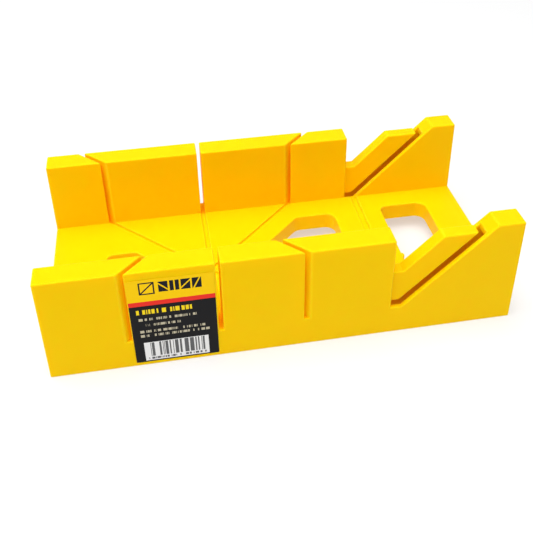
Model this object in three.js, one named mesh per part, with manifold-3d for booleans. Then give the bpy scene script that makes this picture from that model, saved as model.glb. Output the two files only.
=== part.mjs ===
import * as THREE from 'three';
import { mergeVertices } from 'three/addons/utils/BufferGeometryUtils.js';
import Module from 'manifold-3d';

const wasm = await Module();
wasm.setup();

// A one-piece injection-moulded mitre box, open underneath, with one label on its front fence.
// Millimetres. X runs along the box towards the bevel cut, Y runs from the labelled front fence
// to the plain back fence, and Z is up from the bench. The origin is under the middle of the box.

// Outer form
const LENGTH = 300; // over the foot
const WIDTH = 137; // over the outer faces of the two fences
const FENCE_HEIGHT = 76; // bench to the top of the fence blocks
const END_HEIGHT = 79; // bench to the top of the end blocks, behind the bevel cut
const END_LEAN = 1.3; // how far each end face leans in, from the foot to the end blocks' top
const FENCE_THICKNESS = 15.6;
const FLOOR_TOP = 23.4; // bench to the face that the work lies on

// Walls of the moulding
const SKIN = 3.3; // plates of the fences and aprons
const FLOOR_THICKNESS = 4.2; // under the plain floor, so that the cuts don't break through
const RIB_THICKNESS = 2.4; // ribs and skirts under the floor
const RIB_CLEARANCE = 4; // bench to the lower edge of the ribs
const RIB_PLACES = [-128, -54, -31, 71]; // along X

// Square and mitre cuts
const CUT_DEPTH = 1.8; // floor to the bottom of every cut
const SQUARE_CUT_WIDTH = 2.8;
const SQUARE_CUT_X = -42.7;
const MITRE_CUT_WIDTH = 2.6; // measured square to the cut
const MITRE_CROSS_X = -43.9; // where the centre lines of the two 45 degree cuts meet
const MITRE_CROSS_Y = -12.7;

// Bevel cut, through both fences at 45 degrees to the floor, and its guide rails
const BLOCK_END_X = 66.2; // right face of the last fence block, which carries the rail
const END_TOP_X = 131; // left edge of the end block's flat top, where its slope begins
const BEVEL_CUT_WIDTH = 3; // between a rail and the slope
const RAIL_THICKNESS = 9; // along Y, centred in the fence
const RAIL_DEPTH = 15.8; // between the rail's two sloping faces
const RAIL_TOP = 72.6; // bench to the rail's flat top
const SHELF_HEIGHT = 48.3; // bench to the small shelf where the rail leaves its block

// Openings in the floor
const MITRE_MARGIN = 15.2; // from a mitre cut's centre line to the openings beside it
const SKIRT_FOOT = 10.4; // bench to the lower edge of the skirts
const MIDDLE_OPENING_MARGIN = 18.3; // from each fence to the opening
const MIDDLE_OPENING_RIGHT = 53.4;
const LEFT_OPENING_LEFT = -113.5;
const LEFT_OPENING_MARGIN = 12.2; // from the front fence to the opening
const END_OPENING_LEFT = 89.1;
const END_OPENING_RIGHT = 123.8;
const END_OPENING_MARGIN = 16.8; // from each fence to the opening
const SMALL_CORNER = 5;
const LARGE_CORNER = 7.5;
const PIP_RADIUS = 2.2; // half-round pip on the wall of the end opening
const PIP_Y = -19;
const PIP_DROP = 1.2; // floor to the top of the pip

// Label
const LABEL_FOOT = 3; // bench to the label's lower edge
const LABEL_DROP = 6; // top of the fence block to the label's upper edge
const LABEL_MARGIN = 1; // from the label to the cuts on either side of it
const LABEL_THICKNESS = 0.3;
const LABEL_GAP = 0.3; // between the label and the fence
const LABEL_CORNER = 0.8;

const PAST = 2; // how far cutting tools run past a face
const MERGE = 0.5; // how far joined solids run into each other
const ARC_STEPS = 5; // each rounded corner is drawn in twice this many straight steps

const cutBottom = FLOOR_TOP - CUT_DEPTH;
const fenceY = (WIDTH - FENCE_THICKNESS) / 2; // middle plane of the back fence
const channelHalf = WIDTH / 2 - FENCE_THICKNESS;
const slopeOffset = END_TOP_X - END_HEIGHT; // x minus z on the end block's slope
const railLowerOffset = slopeOffset - BEVEL_CUT_WIDTH * Math.SQRT2;
const railUpperOffset = railLowerOffset - RAIL_DEPTH * Math.SQRT2;
const endX = (z) => LENGTH / 2 - (END_LEAN * z) / END_HEIGHT;

// Solids from three.js geometries, and geometries from solids

function solid(geometry) {
  const bare = geometry.index ? geometry.toNonIndexed() : geometry;
  bare.deleteAttribute('normal');
  bare.deleteAttribute('uv');
  const merged = mergeVertices(bare, 1e-4);
  const vertProperties = new Float32Array(merged.attributes.position.array);
  const triVerts = new Uint32Array(merged.index.array);
  return new wasm.Manifold(new wasm.Mesh({ numProp: 3, vertProperties, triVerts }));
}

function geometryOf(manifold) {
  const mesh = manifold.getMesh();
  const geometry = new THREE.BufferGeometry();
  geometry.setAttribute('position', new THREE.BufferAttribute(mesh.vertProperties, 3));
  geometry.setIndex(new THREE.BufferAttribute(mesh.triVerts, 1));
  return geometry;
}

function extruded(shape, depth) {
  const settings = { depth, bevelEnabled: false, curveSegments: ARC_STEPS };
  return new THREE.ExtrudeGeometry(shape, settings);
}

// An outline seen from above, raised from one height to another.
function upright(shape, bottom, top) {
  const geometry = extruded(shape, top - bottom);
  geometry.translate(0, 0, bottom);
  return solid(geometry);
}

// An outline in X and Z, seen from the front, carried from one Y to another.
function across(shape, nearY, farY) {
  const geometry = extruded(shape, farY - nearY);
  geometry.rotateX(Math.PI / 2);
  geometry.translate(0, farY, 0);
  return solid(geometry);
}

function block(lowX, highX, lowY, highY, lowZ, highZ) {
  const geometry = new THREE.BoxGeometry(highX - lowX, highY - lowY, highZ - lowZ);
  geometry.translate((lowX + highX) / 2, (lowY + highY) / 2, (lowZ + highZ) / 2);
  return solid(geometry);
}

function outline(points) {
  return new THREE.Shape(points.map(([x, y]) => new THREE.Vector2(x, y)));
}

function joined(solids) {
  return solids.reduce((whole, next) => whole.add(next));
}

// A closed outline whose corners are [x, y, radius], anticlockwise and convex, moved outwards by
// spread. Each side moves out along its normal and each corner radius grows by the same amount.
function rounded(corners, spread = 0) {
  const count = corners.length;
  const sides = corners.map(([x, y], i) => {
    const [nextX, nextY] = corners[(i + 1) % count];
    const along = new THREE.Vector2(nextX - x, nextY - y).normalize();
    const start = new THREE.Vector2(x + along.y * spread, y - along.x * spread);
    return { start, along };
  });
  const shape = new THREE.Shape();
  corners.forEach(([, , radius], i) => {
    const before = sides[(i + count - 1) % count];
    const after = sides[i];
    const turn = before.along.cross(after.along);
    const reach = after.start.clone().sub(before.start).cross(after.along) / turn;
    const corner = before.start.clone().addScaledVector(before.along, reach);
    const bend = Math.acos(before.along.dot(after.along));
    const r = radius + spread;
    const back = r * Math.tan(bend / 2);
    const enter = corner.clone().addScaledVector(before.along, -back);
    const inwards = new THREE.Vector2(-before.along.y, before.along.x);
    const centre = enter.clone().addScaledVector(inwards, r);
    const from = Math.atan2(enter.y - centre.y, enter.x - centre.x);
    shape.absarc(centre.x, centre.y, r, from, from + bend, false);
  });
  shape.closePath();
  return shape;
}

// Fences

// A side view carried through both fences, centred in each.
function throughFences(shape, thickness) {
  const half = thickness / 2;
  return joined([-fenceY, fenceY].map((middle) => across(shape, middle - half, middle + half)));
}

// Side view of a fence before its cuts: the blocks, and the end block a little taller.
function fenceProfile() {
  const far = LENGTH / 2 + PAST;
  return outline([
    [-far, 0],
    [far, 0],
    [far, END_HEIGHT],
    [BLOCK_END_X + PAST, END_HEIGHT],
    [BLOCK_END_X + PAST, FENCE_HEIGHT],
    [-far, FENCE_HEIGHT],
  ]);
}

// The notch between the last fence block and the end block: a ledge, then the slope.
function notchProfile() {
  const top = END_HEIGHT + PAST;
  return outline([
    [BLOCK_END_X, cutBottom],
    [slopeOffset + cutBottom, cutBottom],
    [slopeOffset + top, top],
    [BLOCK_END_X, top],
  ]);
}

// What is taken off past an end face, where side is -1 for the left end and 1 for the right.
function endTrim(side) {
  const top = END_HEIGHT + PAST;
  const far = LENGTH / 2 + 2 * PAST;
  const points = [
    [side * endX(-PAST), -PAST],
    [side * far, -PAST],
    [side * far, top],
    [side * endX(top), top],
  ];
  const reach = WIDTH / 2 + PAST;
  return across(outline(side > 0 ? points : points.reverse()), -reach, reach);
}

// The rail's side view, from its foot beside the block to its pointed tip over the slope.
function railProfile() {
  const foot = cutBottom + BEVEL_CUT_WIDTH;
  return outline([
    [BLOCK_END_X - MERGE, foot],
    [railLowerOffset + foot, foot],
    [railLowerOffset + RAIL_TOP, RAIL_TOP],
    [railUpperOffset + RAIL_TOP, RAIL_TOP],
    [railUpperOffset + SHELF_HEIGHT, SHELF_HEIGHT],
    [BLOCK_END_X - MERGE, SHELF_HEIGHT],
  ]);
}

// Inside of the end block: open to the slope under the whole rail, roofed from the rail's tip on.
function endHollowProfile() {
  const roofSlope = slopeOffset + SKIN * Math.SQRT2;
  const windowX = slopeOffset + RAIL_TOP;
  return outline([
    [BLOCK_END_X, -PAST],
    [endX(0) - SKIN, -PAST],
    [endX(END_HEIGHT) - SKIN, END_HEIGHT - SKIN],
    [roofSlope + END_HEIGHT - SKIN, END_HEIGHT - SKIN],
    [windowX, windowX - roofSlope],
    [windowX, RAIL_TOP + PAST],
    [BLOCK_END_X, RAIL_TOP + PAST],
  ]);
}

// The upright cuts. A cut's middle line passes through x, y and moves by lean in X for each step
// in Y: 0 is square, 1 and -1 are the two mitres.
const CUTS = [
  { lean: -1, x: MITRE_CROSS_X, y: MITRE_CROSS_Y, halfWidth: (MITRE_CUT_WIDTH / 2) * Math.SQRT2 },
  { lean: 0, x: SQUARE_CUT_X, y: 0, halfWidth: SQUARE_CUT_WIDTH / 2 },
  { lean: 1, x: MITRE_CROSS_X, y: MITRE_CROSS_Y, halfWidth: (MITRE_CUT_WIDTH / 2) * Math.SQRT2 },
];

const cutX = (cut, y) => cut.x + cut.lean * (y - cut.y);

function sawCut(cut) {
  const reach = WIDTH / 2 + PAST;
  const shape = outline([
    [cutX(cut, -reach) - cut.halfWidth, -reach],
    [cutX(cut, -reach) + cut.halfWidth, -reach],
    [cutX(cut, reach) + cut.halfWidth, reach],
    [cutX(cut, reach) - cut.halfWidth, reach],
  ]);
  return upright(shape, cutBottom, END_HEIGHT + PAST);
}

// The groove in the floor where the bevel cut meets it, with upright walls.
function bevelGroove() {
  const right = slopeOffset + FLOOR_TOP;
  const left = right - BEVEL_CUT_WIDTH * Math.SQRT2;
  return block(left, right, -channelHalf, channelHalf, cutBottom, FLOOR_TOP + PAST);
}

// Hollows of the four blocks of one fence, with a skin left round each.
function blockHollows(side) {
  const nearY = side * fenceY - RAIL_THICKNESS / 2;
  const farY = side * fenceY + RAIL_THICKNESS / 2;
  const ordered = [...CUTS].sort((a, b) => cutX(a, side * fenceY) - cutX(b, side * fenceY));
  const skinAlongX = (cut) => cut.halfWidth + SKIN * Math.hypot(1, cut.lean);
  const lines = [
    { left: () => -endX(FENCE_HEIGHT), skin: SKIN },
    ...ordered.map((cut) => ({ left: (y) => cutX(cut, y), skin: skinAlongX(cut) })),
    { left: () => BLOCK_END_X, skin: SKIN },
  ];
  return lines.slice(1).map((line, i) => {
    const previous = lines[i];
    const shape = outline([
      [previous.left(nearY) + previous.skin, nearY],
      [line.left(nearY) - line.skin, nearY],
      [line.left(farY) - line.skin, farY],
      [previous.left(farY) + previous.skin, farY],
    ]);
    return upright(shape, -PAST, FENCE_HEIGHT - SKIN);
  });
}

// Floor openings, each a list of convex corners [x, y, radius], anticlockwise

const marginAlongX = MITRE_MARGIN * Math.SQRT2;

function leftOpening() {
  const half = channelHalf + MITRE_CROSS_Y - LEFT_OPENING_MARGIN;
  const low = MITRE_CROSS_Y - half;
  const high = MITRE_CROSS_Y + half;
  const tip = MITRE_CROSS_X - marginAlongX;
  return [
    [LEFT_OPENING_LEFT, low, SMALL_CORNER],
    [tip - half, low, SMALL_CORNER],
    [tip, MITRE_CROSS_Y, SMALL_CORNER],
    [tip - half, high, SMALL_CORNER],
    [LEFT_OPENING_LEFT, high, SMALL_CORNER],
  ];
}

function middleOpening() {
  const half = channelHalf - MIDDLE_OPENING_MARGIN;
  const tip = MITRE_CROSS_X + marginAlongX;
  return [
    [tip, MITRE_CROSS_Y, SMALL_CORNER],
    [tip + half + MITRE_CROSS_Y, -half, LARGE_CORNER],
    [MIDDLE_OPENING_RIGHT, -half, LARGE_CORNER],
    [MIDDLE_OPENING_RIGHT, half, LARGE_CORNER],
    [tip + half - MITRE_CROSS_Y, half, LARGE_CORNER],
  ];
}

function endOpening() {
  const half = channelHalf - END_OPENING_MARGIN;
  return [
    [END_OPENING_LEFT, -half, SMALL_CORNER],
    [END_OPENING_RIGHT, -half, LARGE_CORNER],
    [END_OPENING_RIGHT, half, LARGE_CORNER],
    [END_OPENING_LEFT, half, SMALL_CORNER],
  ];
}

function underFloorRib(x, top) {
  const half = RIB_THICKNESS / 2;
  const reach = channelHalf + MERGE;
  return block(x - half, x + half, -reach, reach, RIB_CLEARANCE, top);
}

function wallPip() {
  const top = FLOOR_TOP - PIP_DROP;
  const geometry = new THREE.CylinderGeometry(PIP_RADIUS, PIP_RADIUS, top - SKIRT_FOOT, 16);
  geometry.rotateX(Math.PI / 2);
  geometry.translate(END_OPENING_LEFT, PIP_Y, (top + SKIRT_FOOT) / 2);
  return solid(geometry);
}

function moulding() {
  const halfWidth = WIDTH / 2;
  const far = LENGTH / 2 + PAST;
  const endSkin = endX(0) - SKIN;
  const underFloor = FLOOR_TOP - FLOOR_THICKNESS;
  const openings = [leftOpening(), middleOpening(), endOpening()];

  const tray = block(-far, far, -halfWidth, halfWidth, 0, FLOOR_TOP);
  const fences = throughFences(fenceProfile(), FENCE_THICKNESS);
  const notches = [
    across(notchProfile(), -halfWidth - PAST, -channelHalf),
    across(notchProfile(), channelHalf, halfWidth + PAST),
  ];
  const underside = block(-endSkin, endSkin, -channelHalf, channelHalf, -PAST, underFloor);
  const ribs = RIB_PLACES.map((x) => underFloorRib(x, underFloor + MERGE));
  const skirts = openings.map((corners) => {
    return upright(rounded(corners, RIB_THICKNESS), SKIRT_FOOT, underFloor + MERGE);
  });
  const holes = openings.map((corners) => upright(rounded(corners), -PAST, FLOOR_TOP + PAST));
  const endHollows = throughFences(endHollowProfile(), RAIL_THICKNESS);

  return tray
    .add(fences)
    .subtract(joined([endTrim(-1), endTrim(1), ...notches, underside]))
    .add(joined([...ribs, ...skirts]))
    .subtract(joined(holes))
    .add(wallPip())
    .subtract(joined([...blockHollows(-1), ...blockHollows(1), endHollows]))
    .subtract(joined([...CUTS.map(sawCut), bevelGroove()]))
    .add(throughFences(railProfile(), RAIL_THICKNESS));
}

function labelSheet() {
  const [, square, mitre] = CUTS;
  const low = cutX(mitre, -WIDTH / 2) + mitre.halfWidth + LABEL_MARGIN;
  const high = cutX(square, -WIDTH / 2) - square.halfWidth - LABEL_MARGIN;
  const top = FENCE_HEIGHT - LABEL_DROP;
  const shape = rounded([
    [low, LABEL_FOOT, LABEL_CORNER],
    [high, LABEL_FOOT, LABEL_CORNER],
    [high, top, LABEL_CORNER],
    [low, top, LABEL_CORNER],
  ]);
  const face = -WIDTH / 2 - LABEL_GAP;
  return across(shape, face - LABEL_THICKNESS, face);
}

function part(name, manifold, colour, roughness, metalness) {
  const material = new THREE.MeshStandardMaterial({ color: colour, roughness, metalness });
  const mesh = new THREE.Mesh(geometryOf(manifold), material);
  mesh.name = name;
  return mesh;
}

const mitreBox = new THREE.Group();
mitreBox.name = 'mitre_box';
mitreBox.add(part('box_moulding', moulding(), 0xffd600, 0.42, 0));
mitreBox.add(part('front_label', labelSheet(), 0x1d1d20, 0.35, 0));

// The label stands proud of the front fence, so the box sits back by half of that and the
// origin stays under the middle of the whole object.
mitreBox.position.y = (LABEL_GAP + LABEL_THICKNESS) / 2;

export default mitreBox;
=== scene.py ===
"""A moulded plastic mitre box with its printed label, on a plain pale floor under soft light.

Every length is in metres, in the CAD model's frame: X runs along the box towards the bevel cut,
Y from the labelled front fence to the back fence, and Z up from the bench.
"""

import logging
import math
from dataclasses import dataclass
from enum import Enum

import bmesh
import bpy
import numpy as np
from mathutils import Matrix, Vector
from mathutils.geometry import delaunay_2d_cdt


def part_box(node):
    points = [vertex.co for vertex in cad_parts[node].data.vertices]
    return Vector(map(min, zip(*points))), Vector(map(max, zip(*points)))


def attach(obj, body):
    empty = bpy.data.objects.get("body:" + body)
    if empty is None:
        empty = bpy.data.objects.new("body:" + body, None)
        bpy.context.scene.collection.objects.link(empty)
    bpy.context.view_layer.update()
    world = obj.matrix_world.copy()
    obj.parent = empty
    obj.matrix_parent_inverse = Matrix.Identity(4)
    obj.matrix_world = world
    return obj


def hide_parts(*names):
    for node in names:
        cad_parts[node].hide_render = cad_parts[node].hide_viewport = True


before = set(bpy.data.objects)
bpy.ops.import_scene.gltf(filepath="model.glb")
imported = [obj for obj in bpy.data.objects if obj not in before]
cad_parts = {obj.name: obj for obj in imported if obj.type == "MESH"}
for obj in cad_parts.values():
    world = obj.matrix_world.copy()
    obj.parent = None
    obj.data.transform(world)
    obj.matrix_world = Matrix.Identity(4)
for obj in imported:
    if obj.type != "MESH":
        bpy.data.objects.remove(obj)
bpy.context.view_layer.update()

LOG = logging.getLogger("mitre_box")
MM = 0.001
IMAGE_SIDE = 533
INSIDE_TRIANGLES = 1  # delaunay_2d_cdt gives back only the triangles inside the outline
TINY = 1e-20  # keeps a length that divides from being nothing

Colour = tuple[float, float, float]
Place = tuple[float, float]
BLACK: Colour = (0.0, 0.0, 0.0)
WHITE: Colour = (1.0, 1.0, 1.0)


# Shader maths


class Value:
    """A number inside a material. Arithmetic on it adds Math nodes to the material's graph."""

    def __init__(self, graph: "Graph", socket: bpy.types.NodeSocket) -> None:
        """Wraps one output socket.

        Args:
            graph: the graph that new nodes go into.
            socket: the output that gives the number.
        """
        self.graph = graph
        self.socket = socket

    def math(self, operation: str, *others: "Value | float") -> "Value":
        """Adds one Math node whose first input is this value.

        Args:
            operation: the Math node's operation.
            others: the second and third inputs.

        Returns:
            The node's result.
        """
        inputs = dict(enumerate([self, *others]))
        return self.graph.value("ShaderNodeMath", {"operation": operation}, inputs)

    def __add__(self, other: "Value | float") -> "Value":
        """The sum."""
        return self.math("ADD", other)

    __radd__ = __add__

    def __sub__(self, other: "Value | float") -> "Value":
        """The difference."""
        return self.math("SUBTRACT", other)

    def __rsub__(self, other: "Value | float") -> "Value":
        """The difference taken from other, as in 1 - mask."""
        return (self * -1.0).math("ADD", other)

    def __mul__(self, other: "Value | float") -> "Value":
        """The product."""
        return self.math("MULTIPLY", other)

    __rmul__ = __mul__

    def __gt__(self, other: "Value | float") -> "Value":
        """1 where this is greater, and 0 elsewhere."""
        return self.math("GREATER_THAN", other)

    def __lt__(self, other: "Value | float") -> "Value":
        """1 where this is less, and 0 elsewhere."""
        return self.math("LESS_THAN", other)

    def clipped(self) -> "Value":
        """This value held between 0 and 1."""
        return self.math("MINIMUM", 1.0).math("MAXIMUM", 0.0)

    def either(self, other: "Value | float") -> "Value":
        """The greater of two values, which joins two masks."""
        return self.math("MAXIMUM", other)


class Graph:
    """The node tree of one material, with the calls that fill it."""

    def __init__(self, name: str) -> None:
        """Starts a material with an output and a Principled shader.

        Args:
            name: the material's name.
        """
        self.material = bpy.data.materials.new(name)
        self.material.use_nodes = True
        self.tree = self.material.node_tree
        self.tree.nodes.clear()
        self.shader = self.node("ShaderNodeBsdfPrincipled")
        self.node("ShaderNodeOutputMaterial", inputs={"Surface": self.shader.outputs["BSDF"]})

    def node(
        self, kind: str, settings: dict | None = None, inputs: dict | None = None
    ) -> bpy.types.Node:
        """Adds a node, sets it up and fills its sockets.

        Args:
            kind: the node's type name.
            settings: attributes of the node, set before its sockets.
            inputs: a number, a colour, a Value or a socket for each input name or place.

        Returns:
            The new node.
        """
        made = self.tree.nodes.new(kind)
        for name, setting in (settings or {}).items():
            setattr(made, name, setting)
        self.fill(made, inputs or {})
        return made

    def fill(self, made: bpy.types.Node, inputs: dict) -> None:
        """Links or sets the inputs of a node.

        Args:
            made: the node to fill.
            inputs: a number, a colour, a Value or a socket for each input name or place.
        """
        for name, content in inputs.items():
            socket = made.inputs[name]
            if isinstance(content, Value):
                content = content.socket
            if isinstance(content, bpy.types.NodeSocket):
                self.tree.links.new(content, socket)
            elif isinstance(content, tuple) and socket.type == "RGBA":
                socket.default_value = (*content, 1.0)
            else:
                socket.default_value = content

    def value(self, kind: str, settings: dict | None = None, inputs: dict | None = None) -> Value:
        """Adds a node and returns its first output as a number."""
        return Value(self, self.node(kind, settings, inputs).outputs[0])

    def noise(self, place: bpy.types.NodeSocket, size: float, detail: float = 2.0) -> Value:
        """Smooth noise from 0 to 1.

        Args:
            place: the coordinates that it follows.
            size: how far apart its blotches are.
            detail: how many finer layers lie on it.

        Returns:
            The noise as a number.
        """
        inputs = {"Vector": place, "Scale": 1.0 / size, "Detail": detail}
        return self.value("ShaderNodeTexNoise", {"normalize": True}, inputs)

    def mix(self, share: Value, low: object, high: object) -> bpy.types.NodeSocket:
        """Mixes two colours.

        Args:
            share: how much of the second colour shows.
            low: the first colour, or its socket.
            high: the second colour, or its socket.

        Returns:
            The mixed colour's socket.
        """
        made = self.node("ShaderNodeMix", {"data_type": "RGBA"})
        factor, first, second = made.inputs[0], made.inputs[6], made.inputs[7]
        self.tree.links.new(share.socket, factor)
        for socket, content in ((first, low), (second, high)):
            if isinstance(content, tuple):
                socket.default_value = (*content, 1.0)
            else:
                self.tree.links.new(content, socket)
        return made.outputs[2]

    def coordinates(self, kind: str) -> bpy.types.NodeSocket:
        """The piece's own coordinates, "Object" or "UV"."""
        return self.node("ShaderNodeTexCoord").outputs[kind]

    def parts_of(self, place: bpy.types.NodeSocket) -> tuple[Value, Value, Value]:
        """The three parts of a vector."""
        outputs = self.node("ShaderNodeSeparateXYZ", inputs={0: place}).outputs
        return Value(self, outputs[0]), Value(self, outputs[1]), Value(self, outputs[2])


# Finishes


@dataclass(frozen=True)
class MouldedPlastic:
    """Satin moulded plastic with faint flow mottling and a fine spark-eroded grain.

    A little light passes through it, and narrow gaps and inner corners in it get a painted orange
    glow: emission that stands in for light bounced in them.
    """

    name: str
    colour: Colour = (0.96, 0.6, 0.0012)
    deep_colour: Colour = (0.94, 0.565, 0.0008)
    gloss_colour: Colour = (1.0, 0.72, 0.08)
    gloss: float = 0.07
    roughness: float = 0.42
    roughness_spread: float = 0.08
    flow_in_colour: float = 0.75
    flow_in_roughness: float = 0.6
    flow_size: float = 42 * MM
    speckle_size: float = 1.6 * MM
    grain_size: float = 0.42 * MM
    grain_height: float = 0.012 * MM
    grain_strength: float = 0.35
    glow: float = 0.5
    glow_depth: float = 5 * MM
    glow_reach: Colour = (1.0, 0.4, 0.03)
    # Painted glow: the orange emission in narrow gaps and inner corners, and how far the occlusion
    # that places it reaches.
    painted_gap_glow: Colour = (0.17, 0.028, 0.0)
    painted_glow_distance: float = 12 * MM

    def material(self) -> bpy.types.Material:
        """Builds the finish. How enclosed a point is, cubed, gives its share of the painted orange
        glow, an emission that stands in for light bounced in narrow gaps.

        Returns:
            The material.
        """
        graph = Graph(self.name)
        place = graph.coordinates("Object")
        flow = graph.noise(place, self.flow_size, detail=3.0)
        speckle = graph.noise(place, self.speckle_size, detail=2.0)
        grain = graph.noise(place, self.grain_size, detail=1.0)
        # Painted glow: ambient occlusion finds narrow gaps and inner corners, which then give off
        # orange light as if lit by bounces.
        enclosed = graph.node(
            "ShaderNodeAmbientOcclusion", {"only_local": True}, {"Distance": self.painted_glow_distance}
        )
        painted_glow_share = 1 - Value(graph, enclosed.outputs["AO"])
        share = self.flow_in_colour
        depth = (flow * share + speckle * (1 - share)).clipped()
        share = self.flow_in_roughness
        spread = flow * share + speckle * (1 - share) - 0.5
        inputs = {
            "Strength": self.grain_strength,
            "Distance": self.grain_height,
            "Height": grain,
        }
        bump = graph.node("ShaderNodeBump", inputs=inputs)
        inputs = {
            "Base Color": graph.mix(depth, self.colour, self.deep_colour),
            "Roughness": self.roughness + self.roughness_spread * spread,
            "Specular IOR Level": self.gloss,
            "Specular Tint": self.gloss_colour,
            "Emission Color": graph.mix(painted_glow_share * painted_glow_share * painted_glow_share, BLACK, self.painted_gap_glow),
            "Emission Strength": 1.0,
            "Subsurface Weight": self.glow,
            "Subsurface Scale": self.glow_depth,
            "Subsurface Radius": Vector(self.glow_reach),
            "Normal": bump.outputs["Normal"],
        }
        graph.fill(graph.shader, inputs)
        return graph.material


@dataclass(frozen=True)
class Letters:
    """Random upright strokes: the seed of their pattern, and two widths in millimetres."""

    seed: float
    stroke: float
    gap: float


@dataclass(frozen=True)
class PrintLine:
    """One line of small print, in millimetres from the film's lower left corner."""

    seed: float
    foot: float
    right: float
    tagged: bool


@dataclass(frozen=True)
class PrintedFilm:
    """Thin printed film: a yellow head with plain marks over a dark field, a stripe and fine print.

    Places are in millimetres from the film's lower left corner. A pair of places is the lower left
    and upper right corner of a rectangle.
    """

    width: float
    height: float
    head: Colour = (0.95, 0.6, 0.0015)
    field: Colour = (0.0125, 0.0125, 0.014)
    stripe: Colour = (0.82, 0.035, 0.022)
    ink: Colour = (0.012, 0.013, 0.018)
    title: Colour = (0.93, 0.68, 0.015)
    cream: Colour = (0.62, 0.56, 0.4)
    white: Colour = (0.82, 0.82, 0.82)
    stripe_foot: float = 46.9
    stripe_top: float = 50.4
    marks_foot: float = 55.7
    marks_top: float = 65.0
    square_left: float = 7.1
    square_line: float = 0.9
    slash_share: float = 0.7
    tiles_left: float = 18.7
    tile_width: float = 5.6
    tile_pitch: float = 6.6
    tile_leans: tuple[float, ...] = (-1.0, 0.0, 1.0, 0.5)
    tile_cut: float = 0.42
    tile_rise: float = 1.0
    tile_drop: float = 0.4
    stroke_limit: float = 0.28
    gap_limit: float = 0.16
    seed_step: float = 7.3
    title_letters: Letters = Letters(3.0, 0.62, 1.9)
    title_box: tuple[Place, Place] = ((3.9, 40.2), (37.6, 43.8))
    lines: tuple[PrintLine, ...] = (
        PrintLine(11.0, 34.9, 41.0, True),
        PrintLine(23.0, 30.2, 29.6, False),
        PrintLine(31.0, 25.0, 44.4, True),
        PrintLine(47.0, 21.4, 47.4, True),
    )
    line_left: float = 8.4
    line_height: float = 1.9
    line_stroke: float = 0.36
    line_gap: float = 1.1
    line_cover: float = 0.85
    tag_left: float = 4.8
    tag_right: float = 7.2
    tag_margin: float = 0.1
    panel_box: tuple[Place, Place] = ((5.9, 1.0), (45.7, 16.6))
    bars_box: tuple[Place, Place] = ((9.2, 4.4), (43.2, 16.2))
    bar_width: float = 0.42
    bar_seed: float = 90.0
    bar_limit: float = 0.36
    bar_cover: float = 0.86
    feet_letters: Letters = Letters(61.0, 0.42, 1.4)
    feet_box: tuple[Place, Place] = ((8.0, 1.9), (43.8, 3.6))
    roughness: float = 0.4
    roughness_spread: float = 0.12
    gloss: float = 0.06
    ripple_size: float = 9 * MM
    fibre_size: float = 0.5 * MM
    fibre_share: float = 0.2
    bump_strength: float = 0.3
    bump_height: float = 0.02 * MM

    def box(self, x: Value, z: Value, low: Place, high: Place) -> Value:
        """A mask that is 1 inside an upright rectangle.

        Args:
            x: the place across the film.
            z: the place up the film.
            low: the lower left corner.
            high: the upper right corner.

        Returns:
            The mask.
        """
        across = (x > low[0]) * (x < high[0])
        return across * (z > low[1]) * (z < high[1])

    def random_steps(self, graph: Graph, x: Value, width: float, seed: float) -> Value:
        """A random number that holds over each step of the given width.

        Args:
            graph: the material's graph.
            x: the place across the film.
            width: the step's width.
            seed: picks one run of numbers.

        Returns:
            The number, from 0 to 1.
        """
        step = (x * (1.0 / width)).math("FLOOR") + seed
        return graph.value("ShaderNodeTexWhiteNoise", {"noise_dimensions": "1D"}, {"W": step})

    def words(self, graph: Graph, x: Value, letters: Letters) -> Value:
        """A mask of upright strokes in word-like runs, so that it reads as print but says nothing.

        Args:
            graph: the material's graph.
            x: the place across the film.
            letters: the strokes' seed, their width and the width of the gaps between runs.

        Returns:
            The mask, 1 on ink.
        """
        strokes = self.random_steps(graph, x, letters.stroke, letters.seed) > self.stroke_limit
        seed = letters.seed + self.seed_step
        return strokes * (self.random_steps(graph, x, letters.gap, seed) > self.gap_limit)

    def square_mark(self, x: Value, z: Value) -> Value:
        """The mask of a square outline crossed by a mitre line.

        Args:
            x: the place across the film.
            z: the place up the film.

        Returns:
            The mask, 1 on ink.
        """
        low, high, line, left = self.marks_foot, self.marks_top, self.square_line, self.square_left
        right = left + high - low
        outer = self.box(x, z, (left, low), (right, high))
        inner = self.box(x, z, (left + line, low + line), (right - line, high - line))
        slash = ((x - z) - (left - low)).math("ABSOLUTE") < line * self.slash_share
        return outer * (1 - inner * (1 - slash))

    def marks(self, x: Value, z: Value) -> Value:
        """The plain marks on the head: the crossed square, and a tile for each angle of cut.

        Args:
            x: the place across the film.
            z: the place up the film.

        Returns:
            The mask, 1 on ink.
        """
        mark = self.square_mark(x, z)
        low, high = self.marks_foot + self.tile_rise, self.marks_top - self.tile_drop
        middle = (low + high) / 2
        for i, lean in enumerate(self.tile_leans):
            left = self.tiles_left + self.tile_pitch * i
            body = self.box(x, z, (left, low), (left + self.tile_width, high))
            offset = (x - (left + self.tile_width / 2)) - (z - middle) * lean
            cut = offset.math("ABSOLUTE") < self.tile_cut * math.hypot(1.0, lean)
            mark = mark.either(body * (1 - cut))
        return mark

    def print_line(self, graph: Graph, x: Value, z: Value, line: PrintLine) -> Value:
        """The mask of one line of small print, with a solid tag before it where it has one.

        Args:
            graph: the material's graph.
            x: the place across the film.
            z: the place up the film.
            line: the line.

        Returns:
            The mask, 1 on ink.
        """
        foot, top, margin = line.foot, line.foot + self.line_height, self.tag_margin
        letters = Letters(line.seed, self.line_stroke, self.line_gap)
        inked = self.box(x, z, (self.line_left, foot), (line.right, top))
        inked = inked * self.words(graph, x, letters)
        if not line.tagged:
            return inked
        tag = self.box(x, z, (self.tag_left, foot - margin), (self.tag_right, top + margin))
        return inked.either(tag)

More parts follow.
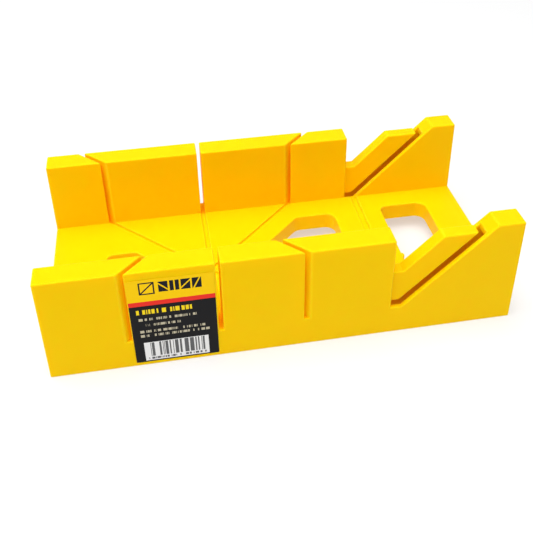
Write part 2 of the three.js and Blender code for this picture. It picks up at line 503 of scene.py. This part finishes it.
    def material(self) -> bpy.types.Material:
        """Builds the finish from the film's own UV map, one printed layer over another.

        Returns:
            The material.
        """
        graph = Graph("label_print")
        u, v, _ = graph.parts_of(graph.coordinates("UV"))
        x, z = u * self.width, v * self.height
        colour = graph.mix(z > self.stripe_top, self.field, self.head)
        in_stripe = (z > self.stripe_foot) * (z < self.stripe_top)
        colour = graph.mix(in_stripe, colour, self.stripe)
        colour = graph.mix(self.marks(x, z), colour, self.ink)
        heading = self.box(x, z, *self.title_box) * self.words(graph, x, self.title_letters)
        colour = graph.mix(heading, colour, self.title)
        small_print = self.print_line(graph, x, z, self.lines[0])
        for line in self.lines[1:]:
            small_print = small_print.either(self.print_line(graph, x, z, line))
        colour = graph.mix(small_print * self.line_cover, colour, self.cream)
        colour = graph.mix(self.box(x, z, *self.panel_box), colour, self.white)
        bars = self.box(x, z, *self.bars_box)
        stripes = self.random_steps(graph, x, self.bar_width, self.bar_seed) > self.bar_limit
        bars = bars * stripes
        feet = self.box(x, z, *self.feet_box) * self.words(graph, x, self.feet_letters)
        colour = graph.mix(bars.either(feet) * self.bar_cover, colour, self.ink)
        ripple = graph.noise(graph.coordinates("Object"), self.ripple_size, detail=2.0)
        fibre = graph.noise(graph.coordinates("Object"), self.fibre_size, detail=1.0)
        inputs = {
            "Strength": self.bump_strength,
            "Distance": self.bump_height,
            "Height": ripple + fibre * self.fibre_share,
        }
        bump = graph.node("ShaderNodeBump", inputs=inputs)
        inputs = {
            "Base Color": colour,
            "Roughness": self.roughness + (ripple - 0.5) * self.roughness_spread,
            "Specular IOR Level": self.gloss,
            "Normal": bump.outputs["Normal"],
        }
        graph.fill(graph.shader, inputs)
        return graph.material


@dataclass(frozen=True)
class PaleFloor:
    """A plain matt sheet for the object to stand on, which gives off some white light itself."""

    colour: Colour = (0.44, 0.44, 0.44)
    shade: Colour = (0.43, 0.43, 0.43)
    roughness: float = 0.9
    gloss: float = 0.1
    lift: float = 0.48
    cloud_size: float = 400 * MM

    def material(self) -> bpy.types.Material:
        """Builds the finish.

        Returns:
            The material.
        """
        graph = Graph("pale_floor")
        cloud = graph.noise(graph.coordinates("Object"), self.cloud_size)
        colour = graph.mix(cloud, self.colour, self.shade)
        inputs = {
            "Base Color": colour,
            "Roughness": self.roughness,
            "Specular IOR Level": self.gloss,
            "Emission Color": WHITE,
            "Emission Strength": self.lift,
        }
        graph.fill(graph.shader, inputs)
        return graph.material


# Mesh making


def object_of(name: str, mesh: bpy.types.Mesh) -> bpy.types.Object:
    """Links a new object at the origin.

    Args:
        name: the object's name.
        mesh: its mesh, already in place.

    Returns:
        The object.
    """
    made = bpy.data.objects.new(name, mesh)
    bpy.context.scene.collection.objects.link(made)
    return made


def grid_mesh(name: str, points: np.ndarray, uv: np.ndarray | None = None) -> bpy.types.Mesh:
    """Makes a sheet of quads from a grid of points.

    The quad at row i and column j joins the points (i, j), (i, j+1), (i+1, j+1) and (i+1, j), so
    it faces the cross product of the column step and the row step.

    Args:
        name: the mesh's name.
        points: rows by columns by 3.
        uv: rows by columns by 2, or None for no UV map.

    Returns:
        The mesh.
    """
    rows, columns = points.shape[:2]
    index = np.arange(rows * columns).reshape(rows, columns)
    quads = np.stack([index[:-1, :-1], index[:-1, 1:], index[1:, 1:], index[1:, :-1]], axis=-1)
    quads = quads.reshape(-1, 4)
    mesh = bpy.data.meshes.new(name)
    mesh.from_pydata(points.reshape(-1, 3).tolist(), [], quads.tolist())
    if uv is not None:
        layer = mesh.uv_layers.new(name="flat")
        layer.uv.foreach_set("vector", uv.reshape(-1, 2)[quads.ravel()].astype(np.float32).ravel())
    mesh.update()
    return mesh


def crossings(points: np.ndarray, sides: np.ndarray) -> np.ndarray:
    """Counts how many sides a line from each point along +X crosses.

    A side from (x1, y1) to (x2, y2) is crossed where one end is above the point and the other
    isn't, and the side's x at the point's height is beyond the point.

    Args:
        points: the points, count by 2.
        sides: the sides' two ends, count by 2 by 2.

    Returns:
        The count for each point.
    """
    x, y = points[:, 0, None], points[:, 1, None]
    (x1, y1), (x2, y2) = sides[:, 0].T, sides[:, 1].T
    spans = (y1 > y) != (y2 > y)
    rise = np.where(y2 == y1, 1.0, y2 - y1)
    return (spans & (x < x1 + (y - y1) * (x2 - x1) / rise)).sum(axis=1)


class Shading(Enum):
    """How a piece's faces are shaded."""

    FLAT = False
    SMOOTH = True


def shade(piece: bpy.types.Object, shading: Shading) -> None:
    """Shades every face of a piece the same way.

    Args:
        piece: the piece.
        shading: flat or smooth.
    """
    wanted = [shading.value] * len(piece.data.polygons)
    piece.data.polygons.foreach_set("use_smooth", wanted)


# Sub-assemblies


@dataclass
class Moulding:
    """The one-piece body: two fences, the slotted floor with its openings, rails, ribs and skirts."""

    node: str = "box_moulding"
    edge_radius: float = 0.95 * MM
    edge_steps: int = 4
    flat_limit: float = math.radians(0.4)
    edge_limit: float = math.radians(35)
    merge_distance: float = 0.001 * MM
    refill_distance: float = 1e-7
    rounded_weight: float = 1e-4

    def merged_shell(self) -> bmesh.types.BMesh:
        """Copies the CAD solid, joins its loose triangles and clears the lines across flat faces.

        Returns:
            The copy, ready to edit.
        """
        shell = bmesh.new()
        shell.from_mesh(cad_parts[self.node].data)
        bmesh.ops.remove_doubles(shell, verts=shell.verts, dist=self.merge_distance)
        bmesh.ops.dissolve_limit(
            shell,
            angle_limit=self.flat_limit,
            verts=shell.verts,
            edges=shell.edges,
            use_dissolve_boundaries=False,
            delimit=set(),
        )
        return shell

    def round_edges(self, shell: bmesh.types.BMesh) -> None:
        """Rounds every outward edge, as a mould does. The new faces take material 1.

        Args:
            shell: the body.
        """
        outward = [
            edge
            for edge in shell.edges
            if edge.is_convex and edge.calc_face_angle() > self.edge_limit
        ]
        bmesh.ops.bevel(
            shell,
            geom=outward,
            offset=self.edge_radius,
            offset_type="OFFSET",
            segments=self.edge_steps,
            profile=0.5,
            affect="EDGES",
            clamp_overlap=False,
            loop_slide=False,
            material=1,
        )

    def flat_areas(self, shell: bmesh.types.BMesh) -> list[list[bmesh.types.BMFace]]:
        """Groups the faces that lie in one plane and touch each other.

        Args:
            shell: the body, with its rounded edges in material 1.

        Returns:
            The groups of more than one face, and the single faces of more than four corners.
        """
        waiting = {face for face in shell.faces if face.material_index == 0}
        areas = []
        while waiting:
            seed = waiting.pop()
            area, front = [seed], [seed]
            while front:
                for edge in front.pop().edges:
                    for near in edge.link_faces:
                        if near in waiting and near.normal.angle(seed.normal) < self.flat_limit:
                            waiting.remove(near)
                            area.append(near)
                            front.append(near)
            if len(area) > 1 or len(seed.verts) > 4:
                areas.append(area)
        return areas

    def refill(self, shell: bmesh.types.BMesh, area: list[bmesh.types.BMFace]) -> None:
        """Replaces one flat area by triangles that fit its outline and keep its holes open.

        The outline is laid flat in its own plane, triangulated with its sides held, and a
        triangle is kept where a line from its middle crosses the outline an odd number of times.

        Args:
            shell: the body.
            area: the faces to replace.
        """
        normal = sum((face.normal * face.calc_area() for face in area), Vector()).normalized()
        inside = set(area)
        rim = [
            edge
            for edge in {edge for face in area for edge in face.edges}
            if len([face for face in edge.link_faces if face in inside]) == 1
        ]
        corners = list({vert for edge in rim for vert in edge.verts})
        place = {vert: i for i, vert in enumerate(corners)}
        to_flat = normal.to_track_quat("Z", "Y").inverted()
        flat = [(to_flat @ vert.co).to_2d() for vert in corners]
        sides = [(place[edge.verts[0]], place[edge.verts[1]]) for edge in rim]
        filled = delaunay_2d_cdt(flat, sides, [], INSIDE_TRIANGLES, self.refill_distance)
        points, _, triangles, origin, _, _ = filled
        if len(points) != len(corners):
            LOG.warning("an outline of %d corners crosses itself", len(corners))
        ends = np.array(flat)[np.array(sides)]
        middles = np.array(points)[np.array(triangles)].mean(axis=1)
        kept = np.array(triangles)[crossings(middles, ends) % 2 == 1]
        bmesh.ops.delete(shell, geom=area, context="FACES_ONLY")
        for triangle in kept:
            verts = [corners[origin[i][0]] for i in triangle if origin[i]]
            if len(verts) == 3:
                face = shell.faces.new(verts)
                face.normal_update()
                if face.normal.dot(normal) < 0:
                    face.normal_flip()

    def build(self) -> bpy.types.Object:
        """Makes the body from the CAD solid with its outward edges rounded.

        Returns:
            The finished piece.
        """
        shell = self.merged_shell()
        self.round_edges(shell)
        for area in self.flat_areas(shell):
            self.refill(shell, area)
        loose = [edge for edge in shell.edges if not edge.link_faces]
        bmesh.ops.delete(shell, geom=loose, context="EDGES")
        mesh = bpy.data.meshes.new("moulded_body")
        shell.to_mesh(mesh)
        shell.free()
        piece = object_of("moulded_body", mesh)
        shade(piece, Shading.SMOOTH)
        mesh.normals_split_custom_set(self.crisp_normals(mesh).tolist())
        return piece

    def crisp_normals(self, mesh: bpy.types.Mesh) -> np.ndarray:
        """Works out a normal for each corner, so that flat faces look flat up to their edges.

        A corner's normal is the sum of the normals of the faces at its point that lean less than
        the edge limit from its own face. Each counts by its area, and a rounded edge's face
        counts for next to nothing beside a flat one.

        Args:
            mesh: the body's mesh.

        Returns:
            One unit vector for each face corner.
        """
        faces = len(mesh.polygons)
        normals, weights = np.empty(faces * 3), np.empty(faces)
        rounded, totals = np.empty(faces, int), np.empty(faces, int)
        mesh.polygons.foreach_get("normal", normals)
        mesh.polygons.foreach_get("area", weights)
        mesh.polygons.foreach_get("material_index", rounded)
        mesh.polygons.foreach_get("loop_total", totals)
        points = np.empty(len(mesh.loops), int)
        mesh.loops.foreach_get("vertex_index", points)
        normals = normals.reshape(-1, 3)
        weights[rounded == 1] *= self.rounded_weight
        owner = np.repeat(np.arange(faces), totals)
        order = np.argsort(points, kind="stable")
        counts = np.bincount(points)
        starts = np.cumsum(counts) - counts
        meets = counts[points]
        first = np.repeat(np.arange(len(points)), meets)
        step = np.arange(len(first)) - np.repeat(np.cumsum(meets) - meets, meets)
        own, other = owner[first], owner[order[starts[points[first]] + step]]
        near = (normals[own] * normals[other]).sum(axis=1) > math.cos(self.edge_limit)
        sums = np.zeros((len(points), 3))
        np.add.at(sums, first[near], (normals * weights[:, None])[other[near]])
        return sums / np.maximum(np.linalg.norm(sums, axis=1, keepdims=True), TINY)

    def dress(self, piece: bpy.types.Object) -> None:
        """Gives the faces their finish, and the rounded edges a slightly lighter copy of it as a
        painted highlight.

        Args:
            piece: the body.
        """
        piece.data.materials.append(MouldedPlastic("yellow_plastic").material())
        # Rounded edges: a paler, lighter yellow than the faces, a painted highlight along every edge.
        edge = MouldedPlastic(
            "yellow_plastic_edge_highlight",
            colour=(0.96, 0.64, 0.006),
            deep_colour=(0.94, 0.6, 0.003),
            roughness=0.36,
            grain_height=0.006 * MM,
        )
        piece.data.materials.append(edge.material())
        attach(piece, "root")
        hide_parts(self.node)


@dataclass
class Label:
    """The printed film on the front fence."""

    node: str = "front_label"
    thickness: float = 0.12 * MM
    corner: float = 0.8 * MM
    corner_steps: int = 6
    lift: float = 0.03 * MM
    wave: float = 0.025 * MM
    wave_fade: int = 4
    across_rate: float = 190.0
    across_phase: float = 0.6
    up_rate: float = 130.0
    up_phase: float = 1.1
    slant_rates: tuple[float, float] = (330.0, 90.0)
    slant_share: float = 0.5
    columns: int = 72
    rows: int = 90

    def build(self) -> bpy.types.Object:
        """Lays the film on the fence.

        The sheet is a function of u across and v up. In a corner square of side r, the local
        place (a, b) goes to (a sqrt(1 - b b / 2), b sqrt(1 - a a / 2)), which turns the square
        into a quarter disc. Two slow sine waves lift the middle of the sheet off the fence by a
        few hundredths of a millimetre, and the waves fade to nothing at the edge.

        Returns:
            The finished piece.
        """
        low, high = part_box(self.node)
        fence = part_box("box_moulding")[0].y
        half = np.array([(high.x - low.x) / 2, (high.z - low.z) / 2])
        middle = np.array([(high.x + low.x) / 2, (high.z + low.z) / 2])
        u, v = np.meshgrid(self.steps(half[0], self.columns), self.steps(half[1], self.rows))
        a = np.clip((np.abs(u) - half[0] + self.corner) / self.corner, 0, 1)
        b = np.clip((np.abs(v) - half[1] + self.corner) / self.corner, 0, 1)
        x = u - np.sign(u) * self.corner * a * (1 - np.sqrt(1 - b * b / 2))
        z = v - np.sign(v) * self.corner * b * (1 - np.sqrt(1 - a * a / 2))
        fade = (1 - (u / half[0]) ** self.wave_fade) * (1 - (v / half[1]) ** self.wave_fade)
        across = np.sin(u * self.across_rate + self.across_phase)
        up = np.sin(v * self.up_rate + self.up_phase)
        slant = np.sin(u * self.slant_rates[0] - v * self.slant_rates[1])
        swell = across * up + self.slant_share * slant
        y = fence - self.lift - self.wave * fade * (1 + swell)
        points = np.stack([middle[0] + x, y, middle[1] + z], axis=-1)
        uv = np.stack([x / half[0], z / half[1]], axis=-1) / 2 + 0.5
        piece = object_of("printed_label", grid_mesh("printed_label", points, uv))
        shade(piece, Shading.SMOOTH)
        film = piece.modifiers.new("film", "SOLIDIFY")
        film.thickness = self.thickness
        film.offset = 1.0
        return piece

    def steps(self, half: float, count: int) -> np.ndarray:
        """Places from -half to half, closer together inside the rounded corners.

        Args:
            half: half of the side.
            count: how many steps lie between the corners.

        Returns:
            The places.
        """
        inner = np.linspace(-half + self.corner, half - self.corner, count)
        end = half - self.corner + self.corner * np.linspace(0, 1, self.corner_steps + 1)[1:]
        return np.concatenate([-end[::-1], inner, end])

    def dress(self, piece: bpy.types.Object) -> None:
        """Prints the film.

        Args:
            piece: the film.
        """
        low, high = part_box(self.node)
        film = PrintedFilm(width=(high.x - low.x) / MM, height=(high.z - low.z) / MM)
        piece.data.materials.append(film.material())
        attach(piece, "root")
        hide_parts(self.node)


# Studio


@dataclass
class Studio:
    """The floor, the lights and the camera. None of it is part of the object."""

    floor_half: float = 4.0
    floor_drop: float = 0.15 * MM
    floor_lines: int = 9
    sky: float = 0.41
    roof_power: float = 35.5
    roof_side: float = 1.7
    roof_place: tuple[float, float, float] = (-0.3, -0.2, 1.5)
    target: tuple[float, float, float] = (0.0174, 0.0763, 0.0347)
    distance: float = 0.5954
    azimuth: float = math.radians(-9.70)
    elevation: float = math.radians(34.02)
    roll: float = math.radians(-0.50)
    focal_share: float = 766.1 / IMAGE_SIDE
    shift: tuple[float, float] = (-0.0189, -0.1717)
    nearest: float = 0.01

    def lay_floor(self) -> None:
        """Lays a flat square sheet just under the object."""
        side = np.linspace(-self.floor_half, self.floor_half, self.floor_lines)
        x, y = np.meshgrid(side, side)
        points = np.stack([x, y, np.full_like(x, -self.floor_drop)], axis=-1)
        floor = object_of("floor", grid_mesh("floor", points))
        shade(floor, Shading.FLAT)
        floor.data.materials.append(PaleFloor().material())

    def light(self) -> None:
        """Hangs one wide soft light over the object and a plain white surround."""
        lamp = bpy.data.lights.new("soft_roof", "AREA")
        lamp.shape = "SQUARE"
        lamp.size = self.roof_side
        lamp.energy = self.roof_power
        holder = bpy.data.objects.new("soft_roof", lamp)
        holder.location = self.roof_place
        holder.rotation_euler = (-Vector(self.roof_place)).to_track_quat("-Z", "Y").to_euler()
        bpy.context.scene.collection.objects.link(holder)
        world = bpy.data.worlds.new("white_room")
        world.use_nodes = True
        background = world.node_tree.nodes["Background"]
        background.inputs["Color"].default_value = (*WHITE, 1.0)
        background.inputs["Strength"].default_value = self.sky
        bpy.context.scene.world = world

    def place_camera(self) -> None:
        """Stands the camera at its distance and angle from the target, with a slight roll."""
        a, e = self.azimuth, self.elevation
        back = Vector((math.sin(a) * math.cos(e), -math.cos(a) * math.cos(e), math.sin(e)))
        level = Vector((math.cos(a), math.sin(a), 0.0))
        right = level * math.cos(self.roll) + back.cross(level) * math.sin(self.roll)
        up = back.cross(right)
        data = bpy.data.cameras.new("camera")
        data.lens = self.focal_share * data.sensor_width
        data.shift_x, data.shift_y = self.shift
        data.clip_start = self.nearest
        camera = bpy.data.objects.new("camera", data)
        turn = Matrix((right, up, back)).transposed().to_4x4()
        place = Vector(self.target) + back * self.distance
        camera.matrix_world = Matrix.Translation(place) @ turn
        bpy.context.scene.collection.objects.link(camera)
        bpy.context.scene.camera = camera
        bpy.context.scene.view_settings.view_transform = "Standard"


def main() -> None:
    """Builds the studio and the object, piece by piece."""
    logging.basicConfig(level=logging.INFO)
    studio = Studio()
    studio.place_camera()
    studio.lay_floor()
    studio.light()
    for maker in (Moulding(), Label()):
        piece = maker.build()
        maker.dress(piece)
        LOG.info("built %s with %d faces before its modifiers", piece.name, len(piece.data.polygons))


if __name__ == "__main__":
    main()
